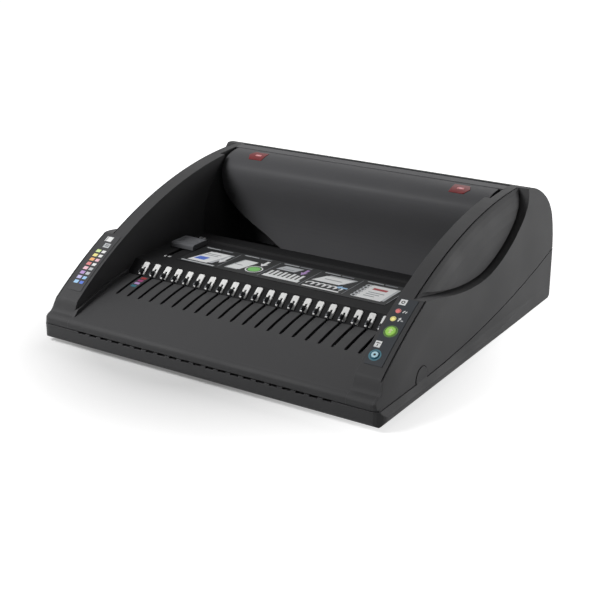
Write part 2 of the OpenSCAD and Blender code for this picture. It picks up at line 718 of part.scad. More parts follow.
module hook_view() {
    top = tine_foot_z + hook_rise;
    polygon(concat([[hook_y1, bar_z1], [hook_y1, top - 4]],
        bez([hook_y1, top - 4], [hook_y1, top], [hook_y0 - 1, top + 1], [hook_y0 - 4, top - 3.5], 6),
        [[hook_y0 - 2.6, top - 4]], bez([hook_y0 - 2.6, top - 4], [hook_y0 - 1, top - 2.4],
            [hook_y0, top - 3], [hook_y0, top - 6], 4), [[hook_y0, bar_z1]]));
}
module hook_carriage() color(steel) {
    difference() {
        union() {
            box([-half_row - 7, car_y0, bar_z0], [half_row + 7, car_y1, bar_z1]);
            both() box([rod_x - block_w / 2, block_y0, rod_z - rod_r - 3],
                [rod_x + block_w / 2, block_y1, bar_z0 + 1]);
            both() across(rack_x - rack_w / 2, rack_x + rack_w / 2) translate([hook_y, rack_pitch_z])
                rack(-rack_over, open_travel + rack_over);
            both() box([rack_x - rack_w / 2, hook_y - rack_over, rack_pitch_z + 1.25 * gear_m],
                [rack_x + rack_w / 2, hook_y + open_travel + rack_over, bar_z1]);
            box([knob_x - arm_w / 2, car_y1 - 1, bar_z1 - 6], [knob_x + arm_w / 2, knob_y + stem_w, bar_z1]);
            box([knob_x - stem_w / 2, knob_y - stem_w / 2, bar_z1 - 1],
                [knob_x + stem_w / 2, knob_y + stem_w / 2, panel_z + knob_lift]);
            at_rings() across(-hook_t / 2, hook_t / 2) hook_view();
        }
        both() translate([rod_x, block_y0 - 1, rod_z]) rotate([-90, 0, 0])
            cylinder(r = rod_r + run_gap, h = block_y1 - block_y0 + 2);
    }
}
module opener_knob() color("#5a5d60") difference() {
    translate([knob_x, knob_y, panel_z + knob_lift]) across(-knob_w / 2, knob_w / 2) polygon(concat(
        [[-knob_l / 2, 0]], bez([-knob_l / 2, knob_h * 0.45], [-knob_l / 2, knob_h], [-knob_l / 2, knob_h],
            [-knob_l / 4, knob_h], 5),
        bez([knob_l / 4, knob_h], [knob_l / 2, knob_h], [knob_l / 2, knob_h], [knob_l / 2, knob_h * 0.45], 5),
        [[knob_l / 2, 0]]));
    for (k = [-2:2]) translate([knob_x, knob_y + k * 3, panel_z + knob_lift + knob_h])
        rod_x_axis(-knob_w / 2 + 4, knob_w / 2 - 4, 0, 0, 0.9);
}
rod_y0 = block_y0 - open_travel - stop_gap - support_t;
rod_y1 = block_y1 + stop_gap + support_t;
module guide_rods() color(steel) both() translate([rod_x, rod_y0, rod_z]) rotate([-90, 0, 0])
    cylinder(r = rod_r, h = rod_y1 - rod_y0);
module rod_supports() color("#55585c") both() difference() {
    for (y = [rod_y0, rod_y1 - support_t])
        box([rod_x - block_w / 2, y, floor_z], [rod_x + block_w / 2, y + support_t, rod_z + rod_r + 2]);
    translate([rod_x, rod_y0 - 1, rod_z]) rotate([-90, 0, 0])
        cylinder(r = rod_r + run_gap, h = rod_y1 - rod_y0 + 2);
}
module synchro_shaft() color(steel)
    rod_x_axis(-rack_x - rack_w, rack_x + rack_w, hook_y, synchro_z, synchro_r);
module synchro_pinions() color("#d8d4c8") both() translate([rack_x - rack_w / 2, hook_y, synchro_z])
    rotate([90, 0, 90]) gear(synchro_teeth, rack_w, synchro_r);
module synchro_brackets() color("#55585c") both() difference() {
    box([rack_x - 19, hook_y - 7, floor_z], [rack_x - 14, hook_y + 7, synchro_z + 7]);
    rod_x_axis(rack_x - 20, rack_x - 13, hook_y, synchro_z, synchro_r + run_gap);
}

// Steel side plate of the punch
module frame() difference() {
    across(frame_x, frame_x + frame_t) polygon([[flange_y0 + 4, floor_z], [flange_y0 + 4, plate_z1 - 4],
        [flange_y0 + 8, plate_z1], [guide_y1 + 3, plate_z1], [shaft_y + 11, punch_z + 18],
        [shaft_y + 21, punch_z - 8], [shaft_y + 25, floor_z]]);
    rod_x_axis(frame_x - 1, frame_x + frame_t + 1, shaft_y, punch_z, bush_r + run_gap);
}
module left_frame() color(steel) mirror([1, 0, 0]) frame();
module right_frame() color(steel) difference() {
    frame();
    rod_x_axis(frame_x - 1, frame_x + frame_t + 1, shaft_y, motor_z, motor_shaft_r + 3);
}
module punch_plate(y0, y1) difference() {
    box([-frame_x, y0, plate_z0], [frame_x, y1, plate_z1]);
    at_rings() box([-pin_w / 2 - pin_gap, y0 - 1, punch_z - pin_t / 2 - pin_gap],
        [pin_w / 2 + pin_gap, y1 + 1, punch_z + pin_t / 2 + pin_gap]);
}
module die_plate() color(steel) punch_plate(die_y0, die_y0 + die_t);
module guide_plate() color(steel) punch_plate(guide_y0, guide_y1);
module depth_stop() color(steel)
    box([-frame_x, die_y0 + die_t, stop_z - 4], [frame_x, guide_y0, stop_z]);
module punch_bar() color("#7d8288") {
    box([-frame_x + 0.4, bar_y0, punch_z - bar_h / 2], [frame_x - 0.4, bar_y0 + bar_t, punch_z + bar_h / 2]);
    both() difference() {
        box([yoke_x - yoke_w / 2, bar_y0, punch_z - window_h / 2 - 3],
            [yoke_x + yoke_w / 2, bar_y0 + bar_t + window_d + yoke_rim, punch_z + window_h / 2 + 3]);
        box([yoke_x - yoke_w, bar_y0 + bar_t, punch_z - window_h / 2],
            [yoke_x + yoke_w, bar_y0 + bar_t + window_d, punch_z + window_h / 2]);
    }
}
module punch_pins() color(steel) at_rings()
    box([-pin_w / 2, pin_y0, punch_z - pin_t / 2], [pin_w / 2, bar_y0, punch_z + pin_t / 2]);
module eccentric_shaft() color(steel) {
    rod_x_axis(-frame_x - frame_t - 2, gear_x0 + gear_w + 1, shaft_y, punch_z, shaft_r);
    both() rod_x_axis(yoke_x - yoke_w / 2 - 1, yoke_x + yoke_w / 2 + 1, shaft_y + throw, punch_z, cam_r);
}
module shaft_bushes() color("#b08d4a") both() difference() {
    union() {
        rod_x_axis(frame_x, frame_x + frame_t, shaft_y, punch_z, bush_r);
        rod_x_axis(frame_x + frame_t, frame_x + frame_t + bush_flange, shaft_y, punch_z,
            bush_r + bush_flange);
    }
    rod_x_axis(frame_x - 1, frame_x + frame_t + 2 * bush_flange, shaft_y, punch_z, shaft_r + run_gap);
}
module drive_gear() color("#d8d4c8") translate([gear_x0, shaft_y, punch_z]) rotate([90, 0, 90])
    gear(gear_teeth, gear_w, shaft_r);
module gear_motor() color("#8d9196") difference() {
    union() {
        box([frame_x - gearbox_l, shaft_y - gearbox_w / 2, motor_z - gearbox_w / 2],
            [frame_x, shaft_y + gearbox_w / 2, motor_z + gearbox_w / 2]);
        rod_x_axis(frame_x - gearbox_l - 44, frame_x - gearbox_l, shaft_y, motor_z, gearbox_w / 2 - 1);
        rod_x_axis(frame_x - gearbox_l - 50, frame_x - gearbox_l - 44, shaft_y, motor_z, 6);
    }
    rod_x_axis(frame_x - 12, frame_x + 1, shaft_y, motor_z, motor_shaft_r + run_gap);
}
module motor_pinion() color("#c9b27a") {
    translate([gear_x0, shaft_y, motor_z]) rotate([90, 0, 90]) gear(pinion_teeth, gear_w, motor_shaft_r / 2);
    rod_x_axis(frame_x - 11, gear_x0 + gear_w, shaft_y, motor_z, motor_shaft_r);
}
module chip_chute() color(black)
    box([-frame_x, guide_y0 + 1, face_z1 + 1], [frame_x, guide_y0 + 2.5, plate_z0]);

// Tub with a face that lies flush in the rear wall of the base
module chip_drawer() color(black) {
    difference() {
        box([-drawer_x, drawer_y0, drawer_z0], [drawer_x, drawer_y1, drawer_z0 + drawer_h]);
        box([-drawer_x + drawer_wall, drawer_y0 + drawer_wall, drawer_z0 + drawer_wall],
            [drawer_x - drawer_wall, drawer_y1 - drawer_wall, drawer_z0 + drawer_h + 1]);
    }
    difference() {
        intersection() {
            across(-face_x, face_x) body_view();
            box([-face_x, drawer_y1 - drawer_wall, drawer_z0], [face_x, rear_y, face_z1]);
        }
        translate([0, rear_y + 2, face_z1 - 1]) rotate([90, 0, 0]) cylinder(r = 16, h = 7);
    }
}

// Electrics
board_z = floor_z + 13;
board_t = 1.6;
board_w = 70;
board_x = 61.5 - half_bed;
board_xs = [board_x, board_x + board_w];
board_ys = [panel_y + 22, rail_y + 18];
module control_board() color("#1f6b3a") {
    box([board_xs[0] - 5, board_ys[0] - 5, board_z], [board_xs[1] + 5, board_ys[1] + 5, board_z + board_t]);
    box([board_x + 12, board_ys[0] + 8, board_z + board_t], [board_x + 30, board_ys[0] + 26, board_z + 12]);
    for (k = [0:2]) translate([board_xs[1] - 12, board_ys[0] + 10 + k * 16, board_z + board_t])
        cylinder(r = 5, h = 12);
}
supply_w = 90;
supply_h = 38;
supply_lip = 4;
supply_ys = [panel_y + 18, rail_y + 24];
vent_pitch = 9;
module power_supply() color("#b5b8bb") {
    box([0, supply_ys[0], floor_z], [supply_w, supply_ys[1], floor_z + 3]);
    difference() {
        box([supply_lip, supply_ys[0] + supply_lip, floor_z + 3],
            [supply_w - supply_lip, supply_ys[1] - supply_lip, floor_z + supply_h]);
        for (k = [0:7]) translate([3 * supply_lip + k * vent_pitch, 0, floor_z + supply_h - 4])
            box([0, supply_ys[0] + 12, 0], [supply_lip, supply_ys[1] - 12, 5]);
    }
}
// Small board under the right band, held between the walls of the cheek
module button_board() color("#1f6b3a") {
    mid = (label_y0 + label_y1) / 2;
    translate([0, mid, band_z(mid)]) rotate([band_tilt(mid), 0, 0])
        box([half_bed + wall, label_y0 - mid, -board_depth - board_t],
            [ear_x - wall, label_y1 - 2 * wall - mid, -board_depth]);
    for (p = [power_at, punch_at]) at_band(p)
        box([-3, -3, -board_depth - 0.6], [3, 3, -wall - fit_gap - 2 - button_travel - 0.3]);
}

// Appliance inlet in the rear wall, beside the drawer
inlet_w = 27;
inlet_h = 20;
inlet_x = face_x + 10 + inlet_w / 2;
inlet_z = floor_z + 28;
inlet_y1 = rear_y - 7;
inlet_y0 = inlet_y1 - 22;
module inlet_block(grow) box([inlet_x - inlet_w / 2 - grow, inlet_y0 - grow, inlet_z - inlet_h / 2 - grow],
    [inlet_x + inlet_w / 2 + grow, inlet_y1 + (grow > 0 ? 20 : 0), inlet_z + inlet_h / 2 + grow]);
module mains_inlet() color(black) {
    difference() {
        inlet_block(0);
        box([inlet_x - 11, inlet_y1 - 16, inlet_z - 7], [inlet_x + 11, inlet_y1 + 1, inlet_z + 7]);
    }
    for (k = [-1:1]) translate([inlet_x + k * 7, inlet_y1 - 17, inlet_z + (k == 0 ? 2.5 : -2)])
        box([-1, 0, -2], [1, 12, 2]);
}

// Printed films on the bands
module band_film(y0, y1) round_band(y0, y1)
    translate([band_r + glue_t, label_x0]) square([film_t, label_x1 - label_x0]);
module control_label() color("#2d3338") difference() {
    band_film(label_y0, label_y1);
    at_band(power_at) translate([0, 0, -1]) cylinder(r = power_r + fit_gap, h = 3);
    at_band(punch_at) translate([0, 0, -1]) cylinder(r = punch_r + fit_gap, h = 3);
    for (p = [amber_at, red_at]) at_band(p) translate([0, 0, -1]) cylinder(r = lens_r + run_gap, h = 3);
}
module comb_chart_label() color("#2d3338") mirror([1, 0, 0]) band_film(label_y0, label_y1);

// Button with a collar that holds it under the band
module button(r) {
    translate([0, 0, -wall - fit_gap - 2]) cylinder(r = r + 1.2, h = 2);
    translate([0, 0, -wall - fit_gap - 1]) cylinder(r = r, h = wall + fit_gap + 1 + button_rise - 0.5);
    translate([0, 0, button_rise - 0.5]) cylinder(r1 = r, r2 = r - 0.5, h = 0.5);
}
module power_button() color("#2f6fb0") at_band(power_at) button(power_r);
module punch_button() color("#4caf3c") at_band(punch_at) button(punch_r);
module lens() translate([0, 0, -wall - 0.5]) cylinder(r = lens_r, h = wall + 0.5 + film_t + 0.3);
module amber_lens() color("#e8b83a") at_band(amber_at) lens();
module red_lens() color("#d23b2f") at_band(red_at) lens();

// Red sheet markers that follow the top of the hood
marker_x = half_row - 16;
module edge_markers() color("#b3262a") both() difference() {
    intersection() {
        translate([0, 0, 0.5]) bulge(0);
        translate([marker_x, nose_y + 20, 0]) linear_extrude(ridge_z + 1)
            polygon([[-10, -8], [7, -8], [11, 0], [7, 8], [-10, 8]]);
    }
    bulge(0);
}

module rubber_feet() color(black) for (x = [-1, 1], y = [front_y + 34, rear_y - 58])
    translate([x * (half_cheek - 16), y, 0]) {
        cylinder(r = 8.5, h = 0.6);
        translate([0, 0, 0.6]) cylinder(r = 9.5, h = foot_h - 0.6);
    }
module housing_screws() color(steel) both() for (y = rib_ys) translate([post_x, y, foot_h]) {
    translate([0, 0, 0.4]) cylinder(r = head_r, h = 2);
    translate([0, 0, 2.4]) cylinder(r = screw_r, h = seam_z - foot_h + 9);
}

base();
bed();
left_cheek();
right_cheek();
left_side_panel();
right_side_panel();
hood();
rear_cover();
instruction_panel();
instruction_label();
rear_rail();
trough_floor();
comb_tines();
hook_carriage();
opener_knob();
guide_rods();
rod_supports();
synchro_shaft();
synchro_pinions();
synchro_brackets();
left_frame();
right_frame();
die_plate();
guide_plate();
depth_stop();
punch_bar();
punch_pins();
eccentric_shaft();
shaft_bushes();
drive_gear();
gear_motor();
motor_pinion();
chip_chute();
chip_drawer();
power_supply();
control_board();
button_board();
mains_inlet();
control_label();
comb_chart_label();
power_button();
punch_button();
amber_lens();
red_lens();
edge_markers();
rubber_feet();
housing_screws();
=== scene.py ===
import math

import bmesh
import bpy
from mathutils import Matrix, Vector


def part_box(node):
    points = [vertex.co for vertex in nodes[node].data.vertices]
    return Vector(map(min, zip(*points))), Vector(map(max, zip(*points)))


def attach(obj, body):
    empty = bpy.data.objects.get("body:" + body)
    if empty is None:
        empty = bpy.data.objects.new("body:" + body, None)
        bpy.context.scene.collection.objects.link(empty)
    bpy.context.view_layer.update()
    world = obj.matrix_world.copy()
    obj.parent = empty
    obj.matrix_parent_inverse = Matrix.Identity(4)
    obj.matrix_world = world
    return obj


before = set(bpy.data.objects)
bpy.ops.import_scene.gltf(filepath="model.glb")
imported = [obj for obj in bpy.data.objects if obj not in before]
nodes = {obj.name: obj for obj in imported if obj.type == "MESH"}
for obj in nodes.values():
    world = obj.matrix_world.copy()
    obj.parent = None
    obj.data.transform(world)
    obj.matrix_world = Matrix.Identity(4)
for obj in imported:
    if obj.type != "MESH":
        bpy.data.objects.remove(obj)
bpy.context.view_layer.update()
mm = 0.001
print("frame loaded:", len(nodes), "nodes")

# the camera stands where the photograph was taken from
camera = {
    "place": (659.59, -1045.64, 491.41),  # mm
    "right": (0.8413, 0.5405, 0.0),
    "up": (-0.1876, 0.2920, 0.9378),
    "back": (0.5069, -0.7890, 0.3471),
    "lens": 74.89,  # mm
    "sensor": 36,  # mm
    "shiftY": -0.0187,
}
cameraObject = bpy.data.objects.new("camera", bpy.data.cameras.new("camera"))
bpy.context.scene.collection.objects.link(cameraObject)
turn = Matrix((camera["right"], camera["up"], camera["back"])).transposed().to_4x4()
cameraObject.matrix_world = Matrix.Translation(Vector(camera["place"]) * mm) @ turn
cameraObject.data.lens = camera["lens"]
cameraObject.data.sensor_width = camera["sensor"]
cameraObject.data.shift_y = camera["shiftY"]
bpy.context.scene.camera = cameraObject
bpy.context.scene.view_settings.view_transform = "Standard"
print("camera set")


def linear(hexCode):
    # sRGB hex to the linear colour that a socket takes
    parts = [int(hexCode[i:i + 2], 16) / 255 for i in (1, 3, 5)]
    return [c / 12.92 if c <= 0.04045 else ((c + 0.055) / 1.055) ** 2.4 for c in parts] + [1.0]


def perMetre(sizeMm):
    # a pattern's scale from its size on the real piece
    return 1 / (sizeMm * mm)


def addNode(tree, kind, settings, links):
    # settings go to sockets by name or number, or to the node itself
    node = tree.nodes.new("ShaderNode" + kind)
    for key, value in settings.items():
        if isinstance(key, int) or key in node.inputs:
            node.inputs[key].default_value = value
        else:
            setattr(node, key, value)
    for key, source in links.items():
        tree.links.new(source, node.inputs[key])
    return node


def newMaterial(name, settings):
    material = bpy.data.materials.new(name)
    material.use_nodes = True
    shader = material.node_tree.nodes["Principled BSDF"]
    for socket, value in settings.items():
        shader.inputs[socket].default_value = value
    return material, material.node_tree, shader


noiseSpan = (0.3, 0.7)  # nearly all values of a noise lie between these
bevelRays = 4
materials = {}

# moulded plastics: the tool's texture gives a fine pebble, edges are rounded and slightly rubbed
plasticLooks = {
    "sparkTexturedAbs": {  # charcoal housing, soft sheen with a fine pebble
        "colour": "#3e3e3f", "blotch": "#434344", "rubbed": "#5c5c5e", "rough": (0.5, 0.62), "gloss": 0.14,
        "grainMm": 1.1, "grainDepthMm": 0.035, "blotchMm": 60, "edgeMm": 0.7},
    # the hood's colours are painted paler than the housing's, as painted light for the bright room that it
    # reflects
    "satinAbsPaintedLighter": {  # hood, smoother, so the light runs along it in a long gradient
        "colour": "#555557", "blotch": "#59595b", "rubbed": "#626264", "rough": (0.36, 0.44), "gloss": 0.05,
        "grainMm": 0.9, "grainDepthMm": 0.012, "blotchMm": 80, "edgeMm": 0.7},
    "matteMouldedAbs": {  # black panel, rail and trough, dull and deep
        "colour": "#131314", "blotch": "#171718", "rubbed": "#262627", "rough": (0.55, 0.66), "gloss": 0.1,
        "grainMm": 1.2, "grainDepthMm": 0.03, "blotchMm": 40, "edgeMm": 0.4},
    "mouldedAcetal": {  # white tines and gears, clean and waxy
        "colour": "#f1f1f0", "blotch": "#e4e4e2", "rubbed": "#fbfbfa", "rough": (0.3, 0.4), "gloss": 0.45,
        "grainMm": 1.0, "grainDepthMm": 0.006, "blotchMm": 14, "edgeMm": 0.3},
    "glassFilledNylon": {  # grey knob and supports, dry, with a speckle of fibres
        "colour": "#5c5d60", "blotch": "#66676a", "rubbed": "#7a7b7e", "rough": (0.46, 0.6), "gloss": 0.3,
        "grainMm": 0.9, "grainDepthMm": 0.025, "blotchMm": 6, "edgeMm": 0.5},
    "mouldedRubber": {  # feet, dead matte with a bloom
        "colour": "#1d1d1d", "blotch": "#272727", "rubbed": "#2d2d2d", "rough": (0.78, 0.9), "gloss": 0.2,
        "grainMm": 1.4, "grainDepthMm": 0.05, "blotchMm": 9, "edgeMm": 0.4},
}
# cosine of an edge's bend where the rub begins and where it is full, and how much of it shows
edgeRub = {"begins": 0.995, "full": 0.85, "shows": 0.55}


def mouldedPlastic(name, look):
    material, tree, shader = newMaterial(name, {"Specular IOR Level": look["gloss"]})
    place = addNode(tree, "TexCoord", {}, {}).outputs["Object"]
    # real texture is about 0.2 mm, drawn near 1 mm so that it shows at this distance
    grain = addNode(tree, "TexNoise", {"Scale": perMetre(look["grainMm"]), "Detail": 3.0, "Roughness": 0.6},
                    {"Vector": place})
    blotch = addNode(tree, "TexNoise", {"Scale": perMetre(look["blotchMm"]), "Detail": 2.0},
                     {"Vector": place})
    edge = addNode(tree, "Bevel", {"samples": bevelRays, "Radius": look["edgeMm"] * mm}, {})
    flat = addNode(tree, "NewGeometry", {}, {}).outputs["Normal"]
    bend = addNode(tree, "VectorMath", {"operation": "DOT_PRODUCT"}, {0: edge.outputs[0], 1: flat})
    rub = addNode(tree, "MapRange", {"From Min": edgeRub["begins"], "From Max": edgeRub["full"],
                                     "To Min": 0.0, "To Max": edgeRub["shows"]},
                  {"Value": bend.outputs["Value"]})
    tone = addNode(tree, "MixRGB", {"Color1": linear(look["colour"]), "Color2": linear(look["blotch"])},
                   {"Fac": blotch.outputs["Fac"]})
    worn = addNode(tree, "MixRGB", {"Color2": linear(look["rubbed"])},
                   {"Fac": rub.outputs["Result"], "Color1": tone.outputs["Color"]})
    rough = addNode(tree, "MapRange", {"From Min": noiseSpan[0], "From Max": noiseSpan[1],
                                       "To Min": look["rough"][0], "To Max": look["rough"][1]},
                    {"Value": blotch.outputs["Fac"]})
    pebble = addNode(tree, "Bump", {"Strength": 1.0, "Distance": look["grainDepthMm"] * mm},
                     {"Height": grain.outputs["Fac"], "Normal": edge.outputs[0]})
    tree.links.new(worn.outputs["Color"], shader.inputs["Base Color"])
    tree.links.new(rough.outputs["Result"], shader.inputs["Roughness"])
    tree.links.new(pebble.outputs["Normal"], shader.inputs["Normal"])
    return material


materials.update({name: mouldedPlastic(name, look) for name, look in plasticLooks.items()})

# metals: grinding and drawing leave fine streaks along x, tumbling and coating leave clouds
metalLooks = {
    "groundSteel": {  # shafts, plates and pins, bright with fine lines along the machine's width
        "colour": "#b9bcbf", "cloud": "#a4a7aa", "rough": (0.22, 0.36),
        "streakMm": (40, 0.6, 0.6), "depthMm": 0.004, "edgeMm": 0.25},
    "zincPlatedSteel": {  # frames and boxes, paler, with a milky cloud
        "colour": "#c3c6c8", "cloud": "#aeb2b6", "rough": (0.34, 0.48),
        "streakMm": (9, 9, 9), "depthMm": 0.003, "edgeMm": 0.25},
    "phosphatedSteel": {  # hooks and their carriage, oiled near-black
        "colour": "#3a3b3d", "cloud": "#2c2d2f", "rough": (0.4, 0.55),
        "streakMm": (3, 3, 3), "depthMm": 0.008, "edgeMm": 0.25},
    "sinteredBronze": {  # bushes and pinion, grainy and brown
        "colour": "#b98f55", "cloud": "#96713d", "rough": (0.42, 0.58),
        "streakMm": (0.9, 0.9, 0.9), "depthMm": 0.02, "edgeMm": 0.25},
}


def workedMetal(name, look):
    material, tree, shader = newMaterial(name, {"Metallic": 1.0})
    place = addNode(tree, "TexCoord", {}, {}).outputs["Object"]
    # real grinding lines and grains are under 0.2 mm, drawn coarser so that they show
    stretch = addNode(tree, "Mapping", {"Scale": [perMetre(size) for size in look["streakMm"]]},
                      {"Vector": place})
    streak = addNode(tree, "TexNoise", {"Scale": 1.0, "Detail": 4.0, "Roughness": 0.6},
                     {"Vector": stretch.outputs["Vector"]})
    tone = addNode(tree, "MixRGB", {"Color1": linear(look["colour"]), "Color2": linear(look["cloud"])},
                   {"Fac": streak.outputs["Fac"]})
    rough = addNode(tree, "MapRange", {"From Min": noiseSpan[0], "From Max": noiseSpan[1],
                                       "To Min": look["rough"][0], "To Max": look["rough"][1]},
                    {"Value": streak.outputs["Fac"]})
    edge = addNode(tree, "Bevel", {"samples": bevelRays, "Radius": look["edgeMm"] * mm}, {})
    bump = addNode(tree, "Bump", {"Strength": 1.0, "Distance": look["depthMm"] * mm},
                   {"Height": streak.outputs["Fac"], "Normal": edge.outputs[0]})
    tree.links.new(tone.outputs["Color"], shader.inputs["Base Color"])
    tree.links.new(rough.outputs["Result"], shader.inputs["Roughness"])
    tree.links.new(bump.outputs["Normal"], shader.inputs["Normal"])
    return material


materials.update({name: workedMetal(name, look) for name, look in metalLooks.items()})

# clear coloured plastics: polished moulded caps and lenses; the lenses are lit a little from within, and
# the punch key has a faint painted glow
clearLooks = {
    "polishedBlueCap": {  # power key, smooth slate blue
        "colour": "#3b7f98", "deep": "#2c6378", "rough": 0.22, "through": 0.0, "glow": 0.0},
    "polishedGreenCap": {  # punch key, fresh green, with a faint painted glow
        "colour": "#a4d866", "deep": "#7fb648", "rough": 0.2, "through": 0.0, "glow": 0.22},
    "amberLens": {  # pale yellow while lit
        "colour": "#eee7a4", "deep": "#d9c860", "rough": 0.15, "through": 0.15, "glow": 0.35},
    "redLens": {  # pale red while lit
        "colour": "#e88f8f", "deep": "#c9403c", "rough": 0.15, "through": 0.15, "glow": 0.3},
    "clearRedMarker": {  # sheet markers on the hood, dark red with a duller face
        "colour": "#8a1a20", "deep": "#6a1015", "rough": 0.3, "through": 0.1, "glow": 0.0},
}
clearMould = {"ior": 1.49, "gloss": 0.2, "flowMm": 2.5, "edgeMm": 0.4}


def clearPlastic(name, look):
    material, tree, shader = newMaterial(name, {
        "IOR": clearMould["ior"], "Specular IOR Level": clearMould["gloss"], "Roughness": look["rough"],
        "Transmission Weight": look["through"], "Emission Color": linear(look["colour"]),
        "Emission Strength": look["glow"]})
    place = addNode(tree, "TexCoord", {}, {}).outputs["Object"]
    flow = addNode(tree, "TexNoise", {"Scale": perMetre(clearMould["flowMm"]), "Detail": 2.0},
                   {"Vector": place})
    tone = addNode(tree, "MixRGB", {"Color1": linear(look["deep"]), "Color2": linear(look["colour"])},
                   {"Fac": flow.outputs["Fac"]})
    edge = addNode(tree, "Bevel", {"samples": bevelRays, "Radius": clearMould["edgeMm"] * mm}, {})
    tree.links.new(tone.outputs["Color"], shader.inputs["Base Color"])
    tree.links.new(edge.outputs[0], shader.inputs["Normal"])
    return material


materials.update({name: clearPlastic(name, look) for name, look in clearLooks.items()})

# printed polyester films: flat ink under a lightly pebbled clear coat, one ink for each label
filmLooks = {
    "slateInkFilm": {"ink": "#33373c", "shade": "#2b2e33"},  # right band, a cool dark grey
    "charcoalInkFilm": {"ink": "#3b3b3d", "shade": "#353537"},  # left band, close to the housing
    "blackInkFilm": {"ink": "#1b1c1d", "shade": "#151617"},  # instruction sheet, near black
}
filmCoat = {"rough": 0.4, "gloss": 0.25, "pebbleMm": 1.3, "pebbleDepthMm": 0.01, "cloudMm": 35}


def printedFilm(name, look):
    material, tree, shader = newMaterial(name, {"Roughness": filmCoat["rough"],
                                                "Specular IOR Level": filmCoat["gloss"]})
    place = addNode(tree, "TexCoord", {}, {}).outputs["Object"]
    # a real coat is pebbled at about 0.2 mm, drawn coarser so that it shows
    pebble = addNode(tree, "TexNoise", {"Scale": perMetre(filmCoat["pebbleMm"]), "Detail": 2.0},
                     {"Vector": place})
    cloud = addNode(tree, "TexNoise", {"Scale": perMetre(filmCoat["cloudMm"]), "Detail": 1.0},
                    {"Vector": place})
    tone = addNode(tree, "MixRGB", {"Color1": linear(look["ink"]), "Color2": linear(look["shade"])},
                   {"Fac": cloud.outputs["Fac"]})
    coat = addNode(tree, "Bump", {"Strength": 1.0, "Distance": filmCoat["pebbleDepthMm"] * mm},
                   {"Height": pebble.outputs["Fac"]})
    tree.links.new(tone.outputs["Color"], shader.inputs["Base Color"])
    tree.links.new(coat.outputs["Normal"], shader.inputs["Normal"])
    return material


materials.update({name: printedFilm(name, look) for name, look in filmLooks.items()})

# circuit board: green solder resist over a woven laminate, with bright tinned pads nearly in rows
# padEdge is a pad's radius as a share of its cell, outside and inside its rim
boardLook = {"resist": "#1c5a33", "weave": "#267043", "tin": "#c9ccc9", "rough": 0.3, "ior": 1.55,
             "weaveMm": 1.2, "padMm": 5.0, "scatter": 0.35, "padEdge": (0.2, 0.16)}


def circuitBoard(name, look):
    material, tree, shader = newMaterial(name, {"Roughness": look["rough"], "IOR": look["ior"]})
    place = addNode(tree, "TexCoord", {}, {}).outputs["Object"]
    # real glass cloth is near 0.5 mm, drawn coarser so that it shows
    weave = addNode(tree, "TexChecker", {"Scale": perMetre(look["weaveMm"]),
                                         "Color1": linear(look["resist"]), "Color2": linear(look["weave"])},
                    {"Vector": place})
    cells = addNode(tree, "TexVoronoi", {"Scale": perMetre(look["padMm"]), "Randomness": look["scatter"]},
                    {"Vector": place})
    pads = addNode(tree, "MapRange", {"From Min": look["padEdge"][0], "From Max": look["padEdge"][1]},
                   {"Value": cells.outputs["Distance"]})
    tinned = addNode(tree, "MixRGB", {"Color2": linear(look["tin"])},
                     {"Fac": pads.outputs["Result"], "Color1": weave.outputs["Color"]})
    tree.links.new(tinned.outputs["Color"], shader.inputs["Base Color"])
    tree.links.new(pads.outputs["Result"], shader.inputs["Metallic"])
    return material


materials["solderResistBoard"] = circuitBoard("solderResistBoard", boardLook)
print("materials made")

dressing = {
    "sparkTexturedAbs": ["base", "bed", "left_cheek", "right_cheek", "left_side_panel", "right_side_panel",
                         "rear_cover"],
    "satinAbsPaintedLighter": ["hood"],
    "matteMouldedAbs": ["instruction_panel", "rear_rail", "trough_floor", "chip_chute", "chip_drawer",
                        "mains_inlet"],
    "mouldedAcetal": ["comb_tines", "synchro_pinions", "drive_gear"],
    "glassFilledNylon": ["opener_knob", "rod_supports", "synchro_brackets"],
    "mouldedRubber": ["rubber_feet"],
    "groundSteel": ["guide_rods", "synchro_shaft", "die_plate", "guide_plate", "depth_stop", "punch_bar",
                    "punch_pins", "eccentric_shaft", "housing_screws"],
    "zincPlatedSteel": ["left_frame", "right_frame", "gear_motor", "power_supply"],
    "phosphatedSteel": ["hook_carriage"],
    "sinteredBronze": ["shaft_bushes", "motor_pinion"],
    "solderResistBoard": ["control_board", "button_board"],
    "polishedBlueCap": ["power_button"],
    "polishedGreenCap": ["punch_button"],
    "amberLens": ["amber_lens"],
    "redLens": ["red_lens"],
    "clearRedMarker": ["edge_markers"],
    "slateInkFilm": ["control_label"],
    "charcoalInkFilm": ["comb_chart_label"],
    "blackInkFilm": ["instruction_label"],
}
for materialName, nodeNames in dressing.items():
    for nodeName in nodeNames:
        for slot in nodes[nodeName].material_slots:
            slot.material = materials[materialName]
print("nodes dressed:", sum(len(nodeNames) for nodeNames in dressing.values()))

# screen-printed inks: flat, slightly chalky, with the mesh of the screen as a faint speckle
inkColours = {
    "white": "#f4f5f5", "pale": "#c4c7ca", "grey": "#8d9094", "black": "#101011", "blue": "#5577d6",
    "sky": "#a5cff2", "cyan": "#bfe6f2", "teal": "#2f6f80", "green": "#7fc96c", "moss": "#5a8438",
    "lime": "#dcf0a8", "yellow": "#f6ec96", "orange": "#f4b676", "red": "#e58a8a", "pink": "#f4c6d2",
    "purple": "#bb98d0", "lavender": "#c9c4ec", "magenta": "#a8447f", "crimson": "#a82f36"}
inkCoat = {"rough": 0.5, "ior": 1.5, "screenMm": 0.9, "thin": 0.82}


